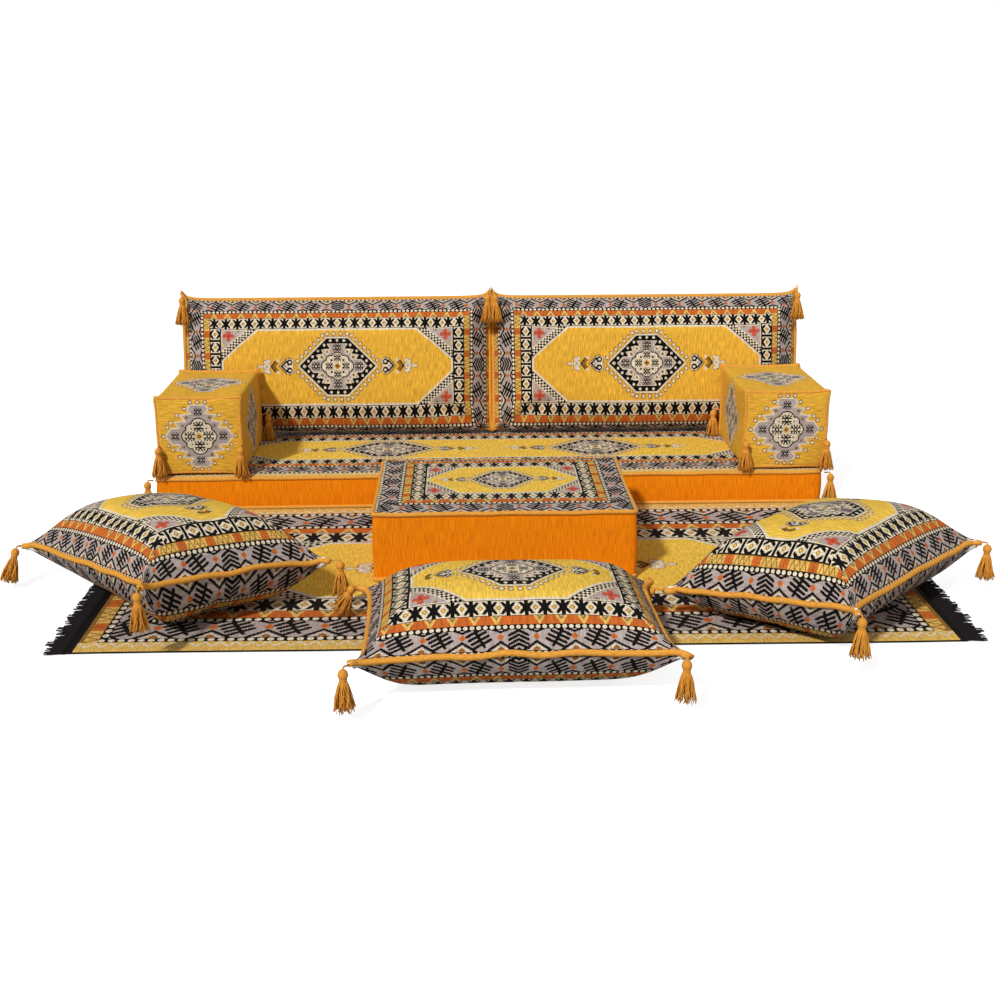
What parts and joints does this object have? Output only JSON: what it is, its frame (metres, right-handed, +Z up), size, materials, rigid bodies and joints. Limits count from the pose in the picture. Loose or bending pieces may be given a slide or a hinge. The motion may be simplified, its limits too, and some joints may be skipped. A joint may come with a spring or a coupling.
{
  "type": "majlis floor sofa",
  "caption": "Low floor seating: mattress seat with leaning back cushions and arm blocks, a rug, an ottoman and loose pillows, all kilim covered.",
  "frame": {"origin": "centre of the seat mattress's underside, on the floor", "axes": "+X along the seat, to the right seen from the front; +Y towards the seat's back; +Z up"},
  "size_m": [2.6076, 2.2743, 0.6155],
  "materials": {
    "kilim_panel": "flat woven kilim cloth, black, cream and gold",
    "kilim_gold": "gold chenille jacquard with a woven medallion",
    "chenille_orange": "orange chenille with upright streaks",
    "base_cloth": "plain twill lining",
    "piping_cord": "corded gold piping",
    "tassel_yarn": "gold rayon yarn",
    "foam": "cut upholstery foam",
    "insert_liner": "white polypropylene liner filled with fibre",
    "zip_tape": "nylon coil zip on gold tape",
    "zip_metal": "plated zinc slider",
    "rug_weave": "flat woven kilim rug",
    "rug_fringe": "black knotted yarn"
  },
  "bodies": {
    "seat": {"seat_foam": "foam", "seat_band": "chenille_orange", "seat_top_panel": "kilim_panel", "seat_base_panel": "base_cloth", "seat_piping": "piping_cord", "seat_tassels": "tassel_yarn", "seat_zip": "zip_tape"},
    "seat_zip_slider": {"seat_zip_slider": "zip_metal"},
    "arm_left": {"arm_left_foam": "foam", "arm_left_sleeve": "kilim_gold", "arm_left_end_panels": "kilim_gold", "arm_left_piping": "piping_cord", "arm_left_tassels": "tassel_yarn", "arm_left_zip": "zip_tape"},
    "arm_left_zip_slider": {"arm_left_zip_slider": "zip_metal"},
    "arm_right": {"arm_right_foam": "foam", "arm_right_sleeve": "kilim_gold", "arm_right_end_panels": "kilim_gold", "arm_right_piping": "piping_cord", "arm_right_tassels": "tassel_yarn", "arm_right_zip": "zip_tape"},
    "arm_right_zip_slider": {"arm_right_zip_slider": "zip_metal"},
    "back_left": {"back_left_insert": "insert_liner", "back_left_cover_front": "kilim_panel", "back_left_cover_back": "kilim_panel", "back_left_piping": "piping_cord", "back_left_tassels": "tassel_yarn", "back_left_zip": "zip_tape"},
    "back_left_zip_slider": {"back_left_zip_slider": "zip_metal"},
    "back_right": {"back_right_insert": "insert_liner", "back_right_cover_front": "kilim_panel", "back_right_cover_back": "kilim_panel", "back_right_piping": "piping_cord", "back_right_tassels": "tassel_yarn", "back_right_zip": "zip_tape"},
    "back_right_zip_slider": {"back_right_zip_slider": "zip_metal"},
    "rug": {"rug": "rug_weave", "rug_fringe": "rug_fringe"},
    "ottoman": {"ottoman_foam": "foam", "ottoman_band": "chenille_orange", "ottoman_top_panel": "kilim_panel", "ottoman_base_panel": "base_cloth", "ottoman_piping": "piping_cord", "ottoman_zip": "zip_tape"},
    "ottoman_zip_slider": {"ottoman_zip_slider": "zip_metal"},
    "pillow_front": {"pillow_front_insert": "insert_liner", "pillow_front_cover_top": "kilim_panel", "pillow_front_cover_bottom": "kilim_panel", "pillow_front_piping": "piping_cord", "pillow_front_tassels": "tassel_yarn"},
    "pillow_left": {"pillow_left_insert": "insert_liner", "pillow_left_cover_top": "kilim_panel", "pillow_left_cover_bottom": "kilim_panel", "pillow_left_piping": "piping_cord", "pillow_left_tassels": "tassel_yarn"},
    "pillow_right": {"pillow_right_insert": "insert_liner", "pillow_right_cover_top": "kilim_panel", "pillow_right_cover_bottom": "kilim_panel", "pillow_right_piping": "piping_cord", "pillow_right_tassels": "tassel_yarn"}
  },
  "joints": [
    {"name": "seat_zip_run", "type": "slide", "parent": "seat", "child": "seat_zip_slider", "axis": [-1, 0, 0], "range_m": [0, 1.157]},
    {"name": "arm_left_lift", "type": "slide", "parent": "seat", "child": "arm_left", "axis": [0, 0, 1], "range_m": [0, 0.3]},
    {"name": "arm_left_zip_run", "type": "slide", "parent": "arm_left", "child": "arm_left_zip_slider", "axis": [-1, 0, 0], "range_m": [0, 0.137]},
    {"name": "arm_right_lift", "type": "slide", "parent": "seat", "child": "arm_right", "axis": [0, 0, 1], "range_m": [0, 0.3]},
    {"name": "arm_right_zip_run", "type": "slide", "parent": "arm_right", "child": "arm_right_zip_slider", "axis": [-1, 0, 0], "range_m": [0, 0.137]},
    {"name": "back_left_lift", "type": "slide", "parent": "seat", "child": "back_left", "axis": [0, 0, 1], "range_m": [0, 0.3]},
    {"name": "back_left_zip_run", "type": "slide", "parent": "back_left", "child": "back_left_zip_slider", "axis": [-1, 0, 0], "range_m": [0, 0.517]},
    {"name": "back_right_lift", "type": "slide", "parent": "seat", "child": "back_right", "axis": [0, 0, 1], "range_m": [0, 0.3]},
    {"name": "back_right_zip_run", "type": "slide", "parent": "back_right", "child": "back_right_zip_slider", "axis": [-1, 0, 0], "range_m": [0, 0.517]},
    {"name": "rug_pull", "type": "slide", "parent": "seat", "child": "rug", "axis": [0, -1, 0], "range_m": [0, 0.3]},
    {"name": "ottoman_lift", "type": "slide", "parent": "rug", "child": "ottoman", "axis": [0, 0, 1], "range_m": [0, 0.3]},
    {"name": "ottoman_zip_run", "type": "slide", "parent": "ottoman", "child": "ottoman_zip_slider", "axis": [-1, 0, 0], "range_m": [0, 0.377]},
    {"name": "pillow_front_lift", "type": "slide", "parent": "rug", "child": "pillow_front", "axis": [0, 0, 1], "range_m": [0, 0.3]},
    {"name": "pillow_left_lift", "type": "slide", "parent": "rug", "child": "pillow_left", "axis": [0, 0, 1], "range_m": [0, 0.3]},
    {"name": "pillow_right_lift", "type": "slide", "parent": "rug", "child": "pillow_right", "axis": [0, 0, 1], "range_m": [0, 0.3]}
  ]
}
